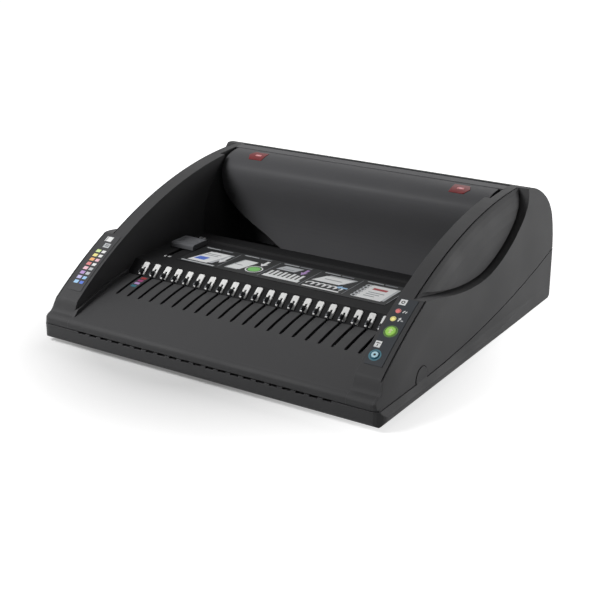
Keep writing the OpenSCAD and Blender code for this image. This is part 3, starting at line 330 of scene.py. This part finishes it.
def screenInk(name, hexCode):
    ink, tree, shader = newMaterial("screenInk-" + name, {"Roughness": inkCoat["rough"],
                                                          "IOR": inkCoat["ior"]})
    place = addNode(tree, "TexCoord", {}, {}).outputs["Object"]
    # a real screen's mesh is near 0.1 mm, drawn coarser so that it shows
    screen = addNode(tree, "TexNoise", {"Scale": perMetre(inkCoat["screenMm"]), "Detail": 2.0},
                     {"Vector": place})
    thin = [inkCoat["thin"] * part for part in linear(hexCode)[:3]] + [1.0]
    tone = addNode(tree, "MixRGB", {"Color1": thin, "Color2": linear(hexCode)},
                   {"Fac": screen.outputs["Fac"]})
    tree.links.new(tone.outputs["Color"], shader.inputs["Base Color"])
    return ink


inks = {name: screenInk(name, hexCode) for name, hexCode in inkColours.items()}


# outlines in millimetres, drawn on a label's own plane
def rect(u0, v0, u1, v1):
    return [(u0, v0), (u1, v0), (u1, v1), (u0, v1)]


def disc(u, v, r, count=28):
    angles = [2 * math.pi * i / count for i in range(count)]
    return [(u + r * math.cos(a), v + r * math.sin(a)) for a in angles]


def ringArc(u, v, r0, r1, start=0.0, end=360.0, count=36):
    angles = [math.radians(start + (end - start) * i / count) for i in range(count + 1)]
    outer = [(u + r1 * math.cos(a), v + r1 * math.sin(a)) for a in angles]
    return outer + [(u + r0 * math.cos(a), v + r0 * math.sin(a)) for a in reversed(angles)]


def stroke(u0, v0, u1, v1, width):
    along = Vector((u1 - u0, v1 - v0)).normalized() * width / 2
    return [(u0 - along.y, v0 + along.x), (u0 + along.y, v0 - along.x),
            (u1 + along.y, v1 - along.x), (u1 - along.y, v1 + along.x)]


def arrow(u, v, length, width, turnBy=0.0):
    # points up before it is turned
    stem, barb, neck = width * 0.2, width * 0.5, length * 0.55
    points = [(-stem, 0), (-stem, neck), (-barb, neck), (0, length), (barb, neck), (stem, neck), (stem, 0)]
    c, s = math.cos(math.radians(turnBy)), math.sin(math.radians(turnBy))
    return [(u + c * a - s * b, v + s * a + c * b) for a, b in points]


def page(u, v, width, height, lean=0.0):
    left, right = u - width / 2, u + width / 2
    return [(left, v), (right, v), (right + lean, v + height), (left + lean, v + height)]


def shifted(shapes, right, up=0.0):
    return [(inkName, [(u + right, v + up) for u, v in outline]) for inkName, outline in shapes]


# mm: later outlines lie a step higher, so that they cover the earlier ones
inkLayer = {"gap": 0.01, "step": 0.004, "thick": 0.05, "keyThick": 0.04}


def printShapes(name, shapes, onSurface, body, thick=inkLayer["thick"]):
    # every outline becomes a closed prism, a hair above the surface that carries it
    colours = sorted({inkName for inkName, outline in shapes})
    mesh = bmesh.new()
    for level, (inkName, outline) in enumerate(shapes):
        low = inkLayer["gap"] + inkLayer["step"] * level
        bottom = [mesh.verts.new(onSurface(u, v, low) * mm) for u, v in outline]
        top = [mesh.verts.new(onSurface(u, v, low + thick) * mm) for u, v in outline]
        faces = [mesh.faces.new(top), mesh.faces.new(list(reversed(bottom)))]
        for i in range(len(outline)):
            j = (i + 1) % len(outline)
            faces.append(mesh.faces.new((bottom[i], bottom[j], top[j], top[i])))
        for face in faces:
            face.material_index = colours.index(inkName)
    bmesh.ops.recalc_face_normals(mesh, faces=mesh.faces)
    data = bpy.data.meshes.new(name)
    mesh.to_mesh(data)
    mesh.free()
    for inkName in colours:
        data.materials.append(inks[inkName])
    piece = bpy.data.objects.new(name, data)
    bpy.context.scene.collection.objects.link(piece)
    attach(piece, body)


# the bands bend along one arc about a line across the machine, given by the y and z of its two ends
# film is how far a label's face stands over that arc
bandArc = {"front": (-189.5, 38.0), "ridge": (121.5, 143.5), "radius": 495.0, "film": 0.42}
(frontY, frontZ), (ridgeY, ridgeZ) = bandArc["front"], bandArc["ridge"]
chord = math.dist(bandArc["front"], bandArc["ridge"])
drop = math.sqrt(bandArc["radius"] ** 2 - (chord / 2) ** 2) / chord
bandY = (frontY + ridgeY) / 2 + (ridgeZ - frontZ) * drop
bandZ = (frontZ + ridgeZ) / 2 - (ridgeY - frontY) * drop


def onBand(xMid, yMid, lift):
    start = math.asin((bandY - yMid) / bandArc["radius"])

    def place(u, v, up):
        tilt = start - v / bandArc["radius"]
        reach = bandArc["radius"] + lift + up
        return Vector((xMid + u, bandY - reach * math.sin(tilt), bandZ + reach * math.cos(tilt)))
    return place


def onLevel(xMid, yMid, z):
    return lambda u, v, up: Vector((xMid + u, yMid + v, z + up))


def onNode(name, xMid, yMid):
    # follows whatever surface of a CAD node lies below the point
    node = nodes[name]
    toNode = node.matrix_world.inverted()
    down = toNode.to_3x3() @ Vector((0, 0, -1))
    overAll = 1.0  # metres

    def place(u, v, up):
        start = toNode @ Vector(((xMid + u) * mm, (yMid + v) * mm, overAll))
        spot = node.ray_cast(start, down)[1]
        return (node.matrix_world @ spot) / mm + Vector((0, 0, up))
    return place


# right band: a black strip along the film's right edge as painted shadow of its recess, rings round the
# buttons and lenses, a page, a cover and small signs beside the lenses
# x and y are the film's middle, and the pairs are places on the film from there
controls = {"x": 174.0, "y": -139.2, "power": (-2.8, -29.2), "punch": (-0.2, -1.7), "amber": (-4.6, 12.4),
            "red": (-4.1, 22.2), "sheet": (-5.4, -21.0), "cover": (-4.4, 29.6)}
sheetSign = [("white", page(0, 0, 6.2, 7.0)), ("black", rect(-2.0, 4.4, 2.0, 5.2)),
             ("black", rect(-0.4, 1.0, 0.4, 3.6))]
coverSign = [("white", page(0, 0, 6.8, 7.0)), ("black", disc(0, 3.5, 1.9)), ("white", disc(0, 3.5, 1.0))]
rings = {"power": ("teal", 4.5, 6.0), "punch": ("moss", 5.5, 6.7), "amber": ("yellow", 2.0, 2.9),
         "red": ("red", 2.0, 2.7)}  # ink, inner and outer radius
# the black strip at the film's right edge is painted shadow, where the film sits down in its recess
signs = [("black", rect(8.0, -38.5, 8.9, 38.5))]
for ringName, (inkName, inner, outer) in rings.items():
    signs.append((inkName, ringArc(*controls[ringName], inner, outer)))
signs += shifted(sheetSign, *controls["sheet"]) + shifted(coverSign, *controls["cover"])
signs += [("white", stroke(0.6, 21.0, 2.4, 23.6, 1.2)), ("white", stroke(3.4, 21.0, 4.4, 23.4, 0.9)),
          ("white", arrow(0.8, 10.6, 5.0, 3.2, -18)), ("pale", rect(3.2, 11.2, 5.6, 12.4))]
printShapes("control_signs", signs, onBand(controls["x"], controls["y"], bandArc["film"]),
            "housing")

# the two keys: a ring on the blue one, an arrow on the green one, each on a face that rises over the arc
keys = {"power": (171.219, -163.8), "punch": (173.819, -140.6), "rise": 1.4}
printShapes("power_sign", [("cyan", ringArc(0, 0, 1.3, 3.2)), ("black", disc(0, 0, 1.1))],
            onBand(*keys["power"], keys["rise"]), "power_key", inkLayer["keyThick"])
printShapes("punch_sign", [("lime", arrow(0, -2.8, 5.6, 5.0))],
            onBand(*keys["punch"], keys["rise"]), "punch_key", inkLayer["keyThick"])

# left band: chart of comb sizes, two dashes in each row, with a page and a booklet above them
chart = {"x": -174.6, "y": -139.2, "rowMm": 6.05, "firstRow": -30.6,
         "page": (1.4, 19.6), "booklet": (-1.8, 28.2),
         "rows": [("sky", "blue"), ("lavender", "sky"), ("purple", "pale"), ("pink", "pale"),
                  ("red", "white"), ("orange", "pink"), ("yellow", "white"), ("lime", "white")]}
pageSign = [("pale", page(0, 0, 7.6, 6.0)), ("black", rect(-2.2, 1.8, 2.4, 2.6)),
            ("black", rect(-2.2, 3.6, 2.4, 4.4))]
bookletSign = [("white", page(0, 0, 8.2, 6.8)), ("black", rect(-3.0, 0, -2.3, 6.8))]
marks = []
for i, (left, right) in enumerate(chart["rows"]):
    row = [(left, page(-3.6, 0, 5.4, 3.9, 0.6)), (right, page(3.4, 0.2, 4.6, 3.5, 0.5))]
    marks += shifted(row, 0, chart["firstRow"] + i * chart["rowMm"])
marks += shifted(pageSign, *chart["page"]) + shifted(bookletSign, *chart["booklet"])
printShapes("chart_marks", marks, onBand(chart["x"], chart["y"], bandArc["film"]),
            "housing")

# bed: four coloured sheet marks beside the first hook slot
edgeMarks = {"x": -135.8, "firstY": -124.2, "stepMm": 5.6, "outline": rect(-3.2, -1.8, 3.2, 1.8),
             "inks": ["teal", "purple", "magenta", "crimson"]}
for i, inkName in enumerate(edgeMarks["inks"]):
    markY = edgeMarks["firstY"] + i * edgeMarks["stepMm"]
    printShapes("bed_mark_" + inkName, [(inkName, edgeMarks["outline"])],
                onNode("bed", edgeMarks["x"], markY), "housing")

# hood: a painted highlight on each red sheet marker, a pale red field with a pink spot in it
markers = {"left": -126.4, "right": 126.4, "y": 90.2}
markerHighlight = [("red", rect(-3.2, -1.8, 4.2, 1.6)), ("pink", rect(-1.4, -0.6, 2.6, 0.8))]
for side in ("left", "right"):
    printShapes("marker_painted_highlight_" + side, markerHighlight, onNode("edge_markers", markers[side], markers["y"]),
                "housing")

# instruction sheet: five generic steps, each in its own field
sheetLow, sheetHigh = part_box("instruction_label")
sheet = {"x": (sheetLow.x + sheetHigh.x) / 2 / mm, "y": (sheetLow.y + sheetHigh.y) / 2 / mm,
         "wide": (sheetHigh.x - sheetLow.x) / mm, "fields": 5}
fieldMm = sheet["wide"] / sheet["fields"]
middles = [(i + 0.5) * fieldMm - sheet["wide"] / 2 for i in range(sheet["fields"])]
# a rule at the right of each field and two lines of print at its top
fieldLines = [("grey", rect(fieldMm / 2 - 0.8, -22, fieldMm / 2 - 0.2, 22)),
              ("pale", rect(-21, 21.6, -3, 23.4)), ("grey", rect(-1, 21.6, 13, 23.4))]
steps = [
    # sheets go down into the paper slot
    [("pale", page(1, -17, 25, 31, 8)), ("white", page(-4, -19, 25, 32, 8)),
     ("blue", page(-6, -13, 13, 9, 2)), ("grey", rect(-10, 2, 8, 3.4)), ("grey", rect(-9, 6, 9, 7.4)),
     ("white", arrow(19, 8, 20, 9, 180)), ("pale", rect(-21, -24, 21, -21.4))],
    # the key is pressed
    [("pale", page(-11, -19, 16, 30, 6)), ("white", page(-9, -17, 16, 27, 6)),
     ("grey", rect(-15, -6, -5, -4.6)), ("white", disc(12, -9, 9.6)), ("black", disc(12, -9, 8.2)),
     ("green", disc(12, -9, 6.8)), ("white", arrow(13, 18, 16, 9, 180))],
    # the comb lies on the tines
    [("white", rect(-22, -19, 21, -13)), ("purple", arrow(12, 18, 16, 8, 180)),
     *[("white", rect(-21 + 5.2 * k, -13, -17.8 + 5.2 * k, -1 + 2 * (k % 2))) for k in range(8)],
     ("pale", page(-9, 5, 22, 12, 5)), ("grey", page(-7, 8, 14, 1.6))],
    # the opened comb takes the sheets
    [("pale", page(-3, 0, 32, 17, 8)), ("white", page(-6, -3, 32, 17, 8)),
     ("grey", page(-2, 5, 20, 1.6, 1)),
     *[("white", ringArc(-18 + 6.6 * k, -12, 3.0, 5.0, -60, 210, 14)) for k in range(6)],
     ("white", rect(-22, -22, 20, -19)), ("sky", arrow(23, -8, 13, 8, 90))],
    # the bound booklet
    [("pale", page(5, -19, 30, 35)), ("white", page(2, -21, 30, 36)), ("crimson", rect(-6, 4, 10, 9)),
     *[("grey", rect(-6, -4 - 5 * k, 12 - 3 * k, -2.4 - 5 * k)) for k in range(3)],
     *[("pale", ringArc(-14, -18 + 6 * k, 1.8, 3.4, 0, 360, 14)) for k in range(6)]],
]
pictures = []
for middle in middles:
    pictures += shifted(fieldLines, middle)
for middle, step in zip(middles, steps):
    pictures += shifted(step, middle)
printShapes("step_pictures", pictures, onLevel(sheet["x"], sheet["y"], sheetHigh.z / mm),
            "housing")

# knob track: signs for the open and the closed comb at its ends, one on the rail and one on the panel
trackSigns = {"closed": {"x": -147.0, "y": 9.5, "on": "rear_rail", "gap": (20, 340)},
              "open": {"x": -136.5, "y": -66.0, "on": "instruction_panel", "gap": (70, 290)}}
for state, trackSign in trackSigns.items():
    shapes = [("white", ringArc(-2.4, 0, 0.9, 1.9, *trackSign["gap"], 20)),
              ("white", rect(0.6, -1.6, 3.6, 1.6)), ("black", rect(1.2, -0.5, 3.0, 0.3))]
    printShapes("knob_sign_" + state, shapes, onNode(trackSign["on"], trackSign["x"], trackSign["y"]),
                "housing")
print("prints made")


def showsBackground(tree):
    # 1 for rays that end in the picture, directly, by a reflection or through a clear piece
    rays = addNode(tree, "LightPath", {}, {}).outputs
    shown = rays["Is Camera Ray"]
    for ray in ("Is Glossy Ray", "Is Transmission Ray"):
        shown = addNode(tree, "Math", {"operation": "MAXIMUM"}, {0: shown, 1: rays[ray]}).outputs[0]
    return shown


# white paper sweep, bright to the camera, that keeps the soft shadow: its glow is least round a point in
# front of the machine's left, which paints shade onto the floor there on top of the real shadow
# shade is the middle of the painted shade, and reach is where the glow begins to rise and where it is full
floorLook = {"size": 14.0, "paper": "#cfcfcf", "lift": (0.18, 1.0), "reach": (0.1, 0.34),
             "shade": (-0.06, -0.12, 0.0)}  # size, reach and shade in metres
bpy.ops.mesh.primitive_plane_add(size=floorLook["size"])
floor = bpy.context.object
floor.name = "paper_sweep"
paper = bpy.data.materials.new("whitePaper")
paper.use_nodes = True
paperTree = paper.node_tree
paperTree.nodes.clear()
diffuse = addNode(paperTree, "BsdfDiffuse", {"Color": linear(floorLook["paper"])}, {})
paperSpot = addNode(paperTree, "TexCoord", {}, {}).outputs["Object"]
fromPaintedShade = addNode(paperTree, "VectorMath", {"operation": "DISTANCE", 1: floorLook["shade"]}, {0: paperSpot})
lift = addNode(paperTree, "MapRange", {"From Min": floorLook["reach"][0], "From Max": floorLook["reach"][1],
                                       "To Min": floorLook["lift"][0], "To Max": floorLook["lift"][1]},
               {"Value": fromPaintedShade.outputs["Value"]})
strength = addNode(paperTree, "Math", {"operation": "MULTIPLY"},
                   {0: showsBackground(paperTree), 1: lift.outputs["Result"]})
glow = addNode(paperTree, "Emission", {}, {"Strength": strength.outputs[0]})
both = addNode(paperTree, "AddShader", {}, {0: diffuse.outputs[0], 1: glow.outputs[0]})
addNode(paperTree, "OutputMaterial", {}, {"Surface": both.outputs[0]})
floor.data.materials.append(paper)

# soft studio light: a white room, dim as a light, and boxes round the machine
room = {"wall": "#ffffff", "seen": 1.0, "light": 0.02}
world = bpy.data.worlds.new("whiteRoom")
bpy.context.scene.world = world
world.use_nodes = True
roomTree = world.node_tree
background = roomTree.nodes["Background"]
level = addNode(roomTree, "MapRange", {"To Min": room["light"], "To Max": room["seen"]},
                {"Value": showsBackground(roomTree)})
roomTree.links.new(level.outputs["Result"], background.inputs["Strength"])
background.inputs["Color"].default_value = linear(room["wall"])
lamps = {  # places and sizes in metres
    "softBoxLeftFront": {"at": (-0.5, -0.7, 0.8), "aim": (0, 0, 0.06), "size": 0.4, "watts": 9},
    "softBoxLeft": {"at": (-0.9, -0.6, 0.7), "aim": (0, 0, 0.06), "size": 0.5, "watts": 1.2},
    "softBoxBack": {"at": (-0.1, 1.5, 1.6), "aim": (0, 0, 0.05), "size": 1.4, "watts": 9},
    "softBoxRightBack": {"at": (1.7, 1.4, 0.25), "aim": (0, 0, 0.06), "size": 1.0, "watts": 29},
}
for lampName, lamp in lamps.items():
    light = bpy.data.lights.new(lampName, "AREA")
    light.size = lamp["size"]
    light.energy = lamp["watts"]
    lightObject = bpy.data.objects.new(lampName, light)
    lightObject.location = lamp["at"]
    direction = Vector(lamp["aim"]) - Vector(lamp["at"])
    lightObject.rotation_euler = direction.to_track_quat("-Z", "Y").to_euler()
    bpy.context.scene.collection.objects.link(lightObject)
print("stage lit")
